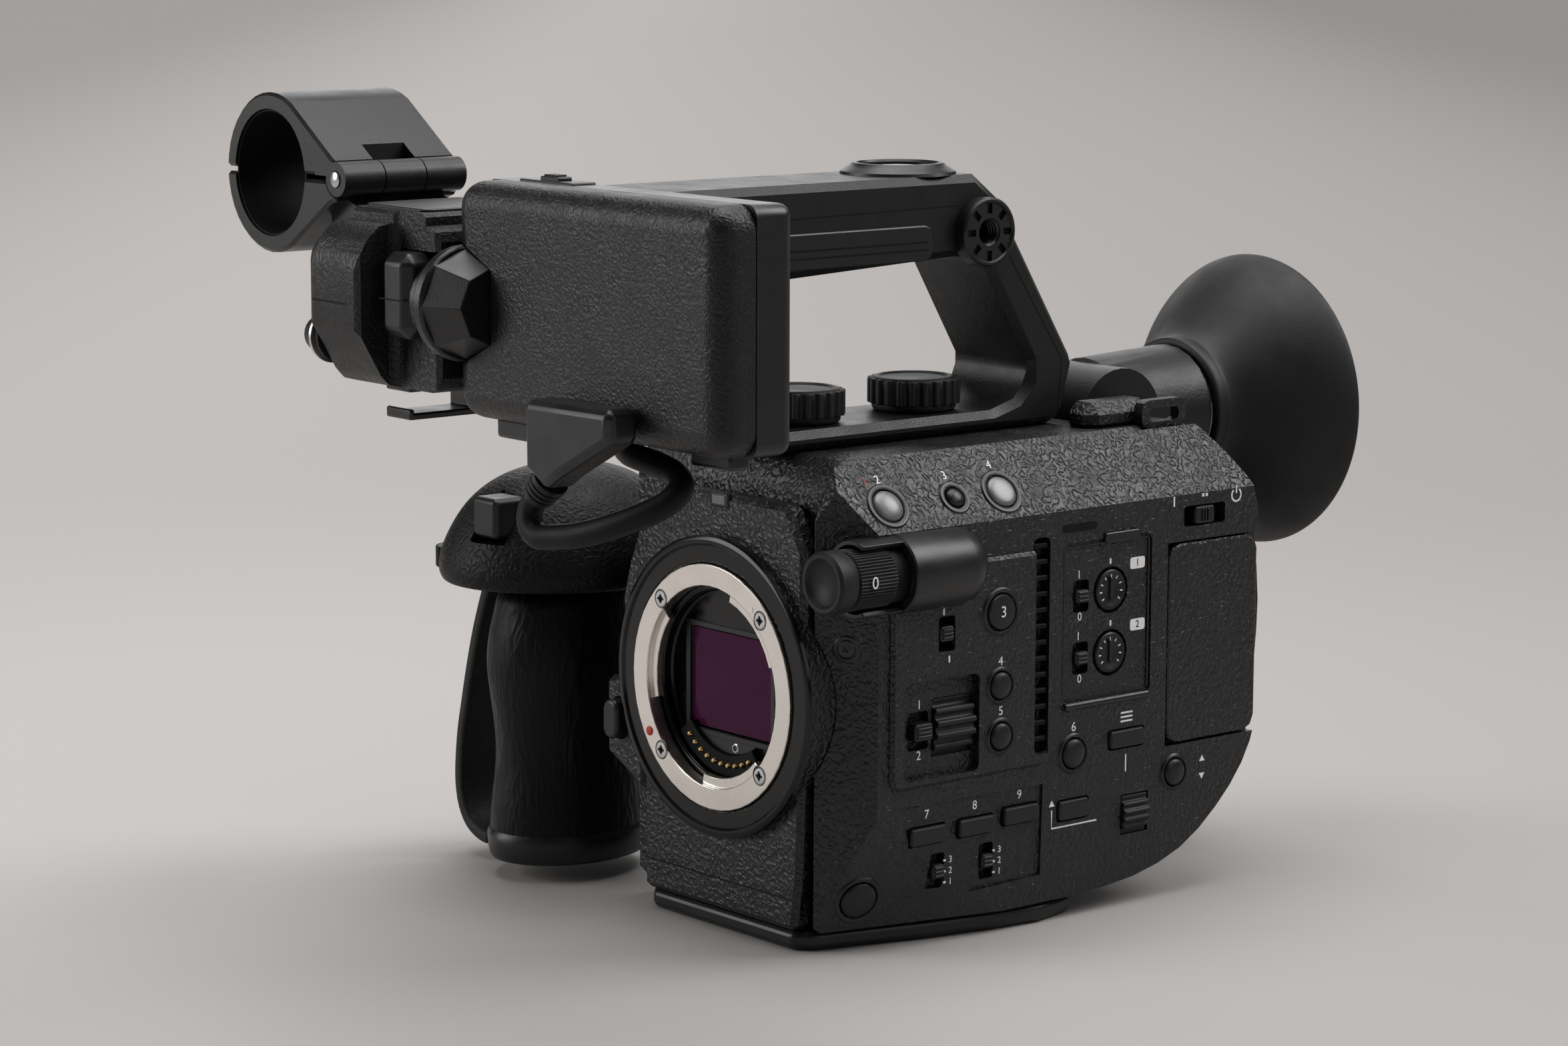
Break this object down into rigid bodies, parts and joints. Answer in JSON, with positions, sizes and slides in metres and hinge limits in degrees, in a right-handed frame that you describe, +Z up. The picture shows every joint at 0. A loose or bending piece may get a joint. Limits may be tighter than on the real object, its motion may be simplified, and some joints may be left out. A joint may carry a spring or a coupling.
{
  "type": "cinema camera rig",
  "caption": "Handheld cinema camera rig: body with open lens mount, top handle with tilting monitor and microphone holder, turning side grip, tilting viewfinder with eyecup.",
  "frame": {"origin": "on the flat underside of the base plate, below the optical axis", "axes": "+Z up, -Y out of the lens mount, +X out of the control side"},
  "size_m": [0.2188, 0.289, 0.2095],
  "materials": {
    "grained_shell": "matt black with a pebbled grain",
    "satin_trim": "satin black",
    "rubber": "soft black rubber",
    "steel": "fine turned",
    "dark_glass": "dark coated glass",
    "circuit_board": "solder mask",
    "key_cap": "satin black key caps"
  },
  "bodies": {
    "root": {"base_plate": "satin_trim", "front_plate": "grained_shell", "lens_mount_ring": "steel", "throat_liner": "satin_trim", "image_sensor": "circuit_board", "filter_window": "dark_glass", "main_casing": "grained_shell", "left_cover": "grained_shell", "battery_pack": "satin_trim", "handle_frame": "grained_shell", "handle_front_block": "grained_shell", "cable_clip": "satin_trim", "mic_holder_lower": "satin_trim", "lcd_clamp": "satin_trim", "lcd_cable": "rubber"},
    "monitor": {"lcd_back_shell": "grained_shell", "lcd_bezel": "satin_trim", "lcd_screen": "dark_glass", "lcd_hinge_cone": "satin_trim", "lcd_plug": "satin_trim"},
    "mic_lid": {"mic_holder_upper": "satin_trim"},
    "grip": {"grip_head": "grained_shell", "grip_handle": "rubber", "hand_strap": "rubber"},
    "viewfinder": {"viewfinder_tube": "satin_trim", "eyecup": "rubber", "eyepiece_lens": "dark_glass"},
    "status_button": {"status_button": "key_cap"},
    "iris_button": {"iris_button": "key_cap"},
    "push_auto_button": {"push_auto_button": "key_cap"},
    "display_button": {"display_button": "key_cap"},
    "slot_button": {"slot_button": "key_cap"},
    "menu_button": {"menu_button": "key_cap"},
    "thumbnail_button": {"thumbnail_button": "key_cap"},
    "gain_button": {"gain_button": "key_cap"},
    "white_balance_button": {"white_balance_button": "key_cap"},
    "shutter_button": {"shutter_button": "key_cap"},
    "record_button": {"record_button": "key_cap"},
    "speed_button": {"speed_button": "key_cap"},
    "full_auto_button": {"full_auto_button": "key_cap"},
    "wb_set_button": {"wb_set_button": "key_cap"},
    "handle_record_button": {"handle_record_button": "key_cap"},
    "grip_cap_button": {"grip_cap_button": "key_cap"},
    "lens_release_button": {"lens_release_button": "key_cap"},
    "nd_mode_switch": {"nd_mode_switch": "key_cap"},
    "nd_iris_selector": {"nd_iris_selector": "key_cap"},
    "gain_switch": {"gain_switch": "key_cap"},
    "wb_switch": {"wb_switch": "key_cap"},
    "audio_switch_1": {"audio_switch_1": "key_cap"},
    "audio_switch_2": {"audio_switch_2": "key_cap"},
    "power_switch": {"power_switch": "key_cap"},
    "nd_dial": {"nd_dial": "rubber"},
    "iris_wheel": {"iris_wheel": "rubber"},
    "select_wheel": {"select_wheel": "rubber"},
    "handle_knob_front": {"handle_knob_front": "rubber"},
    "handle_knob_rear": {"handle_knob_rear": "rubber"},
    "grip_dial": {"grip_dial": "rubber"},
    "audio_dial_1": {"audio_dial_1": "key_cap"},
    "audio_dial_2": {"audio_dial_2": "key_cap"},
    "media_door": {"media_door": "grained_shell"}
  },
  "joints": [
    {"name": "monitor_tilt", "type": "hinge", "parent": "root", "child": "monitor", "pos_m": [0.0105, -0.158, 0.165], "axis": [1, 0, 0], "range_deg": [-90, 90], "deforming": ["lcd_cable"]},
    {"name": "mic_lid_hinge", "type": "hinge", "parent": "root", "child": "mic_lid", "pos_m": [-0.04, -0.13925, 0.19], "axis": [0, 1, 0], "range_deg": [0, 100]},
    {"name": "grip_turn", "type": "hinge", "parent": "root", "child": "grip", "pos_m": [-0.043, -0.048, 0.088], "axis": [-1, 0, 0], "range_deg": [0, 70]},
    {"name": "viewfinder_tilt", "type": "hinge", "parent": "root", "child": "viewfinder", "pos_m": [0, 0.05, 0.1195], "axis": [1, 0, 0], "range_deg": [0, 60]},
    {"name": "status_button_press", "type": "slide", "parent": "root", "child": "status_button", "axis": [-1, 0, 0], "range_m": [0, 0.0012], "stiffness_N_per_m": 300},
    {"name": "iris_button_press", "type": "slide", "parent": "root", "child": "iris_button", "axis": [-1, 0, 0], "range_m": [0, 0.0012], "stiffness_N_per_m": 300},
    {"name": "push_auto_button_press", "type": "slide", "parent": "root", "child": "push_auto_button", "axis": [-1, 0, 0], "range_m": [0, 0.0012], "stiffness_N_per_m": 300},
    {"name": "display_button_press", "type": "slide", "parent": "root", "child": "display_button", "axis": [-1, 0, 0], "range_m": [0, 0.0012], "stiffness_N_per_m": 300},
    {"name": "slot_button_press", "type": "slide", "parent": "root", "child": "slot_button", "axis": [-1, 0, 0], "range_m": [0, 0.0012], "stiffness_N_per_m": 300},
    {"name": "menu_button_press", "type": "slide", "parent": "root", "child": "menu_button", "axis": [-1, 0, 0], "range_m": [0, 0.0012], "stiffness_N_per_m": 300},
    {"name": "thumbnail_button_press", "type": "slide", "parent": "root", "child": "thumbnail_button", "axis": [-1, 0, 0], "range_m": [0, 0.0012], "stiffness_N_per_m": 300},
    {"name": "gain_button_press", "type": "slide", "parent": "root", "child": "gain_button", "axis": [-1, 0, 0], "range_m": [0, 0.0012], "stiffness_N_per_m": 300},
    {"name": "white_balance_button_press", "type": "slide", "parent": "root", "child": "white_balance_button", "axis": [-1, 0, 0], "range_m": [0, 0.0012], "stiffness_N_per_m": 300},
    {"name": "shutter_button_press", "type": "slide", "parent": "root", "child": "shutter_button", "axis": [-1, 0, 0], "range_m": [0, 0.0012], "stiffness_N_per_m": 300},
    {"name": "record_button_press", "type": "slide", "parent": "root", "child": "record_button", "axis": [-0.7971, 0, -0.6039], "range_m": [0, 0.0012], "stiffness_N_per_m": 300},
    {"name": "speed_button_press", "type": "slide", "parent": "root", "child": "speed_button", "axis": [-0.7971, 0, -0.6039], "range_m": [0, 0.0012], "stiffness_N_per_m": 300},
    {"name": "full_auto_button_press", "type": "slide", "parent": "root", "child": "full_auto_button", "axis": [-0.7971, 0, -0.6039], "range_m": [0, 0.0012], "stiffness_N_per_m": 300},
    {"name": "wb_set_button_press", "type": "slide", "parent": "root", "child": "wb_set_button", "axis": [-0.9222, 0.2226, 0.3163], "range_m": [0, 0.0012], "stiffness_N_per_m": 300},
    {"name": "handle_record_button_press", "type": "slide", "parent": "root", "child": "handle_record_button", "axis": [0, 0, -1], "range_m": [0, 0.0012], "stiffness_N_per_m": 300},
    {"name": "grip_cap_button_press", "type": "slide", "parent": "grip", "child": "grip_cap_button", "axis": [0, 0, -1], "range_m": [0, 0.0012], "stiffness_N_per_m": 300},
    {"name": "lens_release_button_press", "type": "slide", "parent": "root", "child": "lens_release_button", "axis": [0, 1, 0], "range_m": [0, 0.002], "stiffness_N_per_m": 300},
    {"name": "nd_mode_switch_slide", "type": "slide", "parent": "root", "child": "nd_mode_switch", "axis": [0, 0, 1], "range_m": [-0.002, 0.002]},
    {"name": "nd_iris_selector_slide", "type": "slide", "parent": "root", "child": "nd_iris_selector", "axis": [0, 0, 1], "range_m": [-0.0022, 0.0022]},
    {"name": "gain_switch_slide", "type": "slide", "parent": "root", "child": "gain_switch", "axis": [0, 0, 1], "range_m": [-0.0024, 0.0024]},
    {"name": "wb_switch_slide", "type": "slide", "parent": "root", "child": "wb_switch", "axis": [0, 0, 1], "range_m": [-0.0024, 0.0024]},
    {"name": "audio_switch_1_slide", "type": "slide", "parent": "root", "child": "audio_switch_1", "axis": [0, 0, 1], "range_m": [-0.002, 0.002]},
    {"name": "audio_switch_2_slide", "type": "slide", "parent": "root", "child": "audio_switch_2", "axis": [0, 0, 1], "range_m": [-0.002, 0.002]},
    {"name": "power_switch_slide", "type": "slide", "parent": "root", "child": "power_switch", "axis": [0, 1, 0], "range_m": [-0.0036, 0.0036]},
    {"name": "nd_dial_turn", "type": "hinge", "parent": "root", "child": "nd_dial", "pos_m": [0.045, -0.066, 0.095], "axis": [0, 1, 0], "range_deg": [0, 135]},
    {"name": "iris_wheel_spin", "type": "hinge", "parent": "root", "child": "iris_wheel", "pos_m": [0.0367, -0.0346, 0.0552], "axis": [0, 1, 0], "continuous": true},
    {"name": "select_wheel_spin", "type": "hinge", "parent": "root", "child": "select_wheel", "pos_m": [0.04, 0.0281, 0.0238], "axis": [0, 1, 0], "continuous": true},
    {"name": "handle_knob_front_turn", "type": "hinge", "parent": "root", "child": "handle_knob_front", "pos_m": [0, -0.0468, 0.1268], "axis": [0, 0, 1], "continuous": true},
    {"name": "handle_knob_rear_turn", "type": "hinge", "parent": "root", "child": "handle_knob_rear", "pos_m": [0, -0.008, 0.1268], "axis": [0, 0, 1], "continuous": true},
    {"name": "grip_dial_spin", "type": "hinge", "parent": "grip", "child": "grip_dial", "pos_m": [-0.097, -0.081, 0.081], "axis": [0, 0, 1], "continuous": true},
    {"name": "audio_dial_1_turn", "type": "hinge", "parent": "root", "child": "audio_dial_1", "pos_m": [0.046, 0.019, 0.083], "axis": [1, 0, 0], "range_deg": [-135, 135]},
    {"name": "audio_dial_2_turn", "type": "hinge", "parent": "root", "child": "audio_dial_2", "pos_m": [0.046, 0.019, 0.0668], "axis": [1, 0, 0], "range_deg": [-135, 135]},
    {"name": "media_door_open", "type": "hinge", "parent": "root", "child": "media_door", "pos_m": [0.046, 0.0395, 0.06625], "axis": [0, 0, -1], "range_deg": [0, 110]}
  ]
}
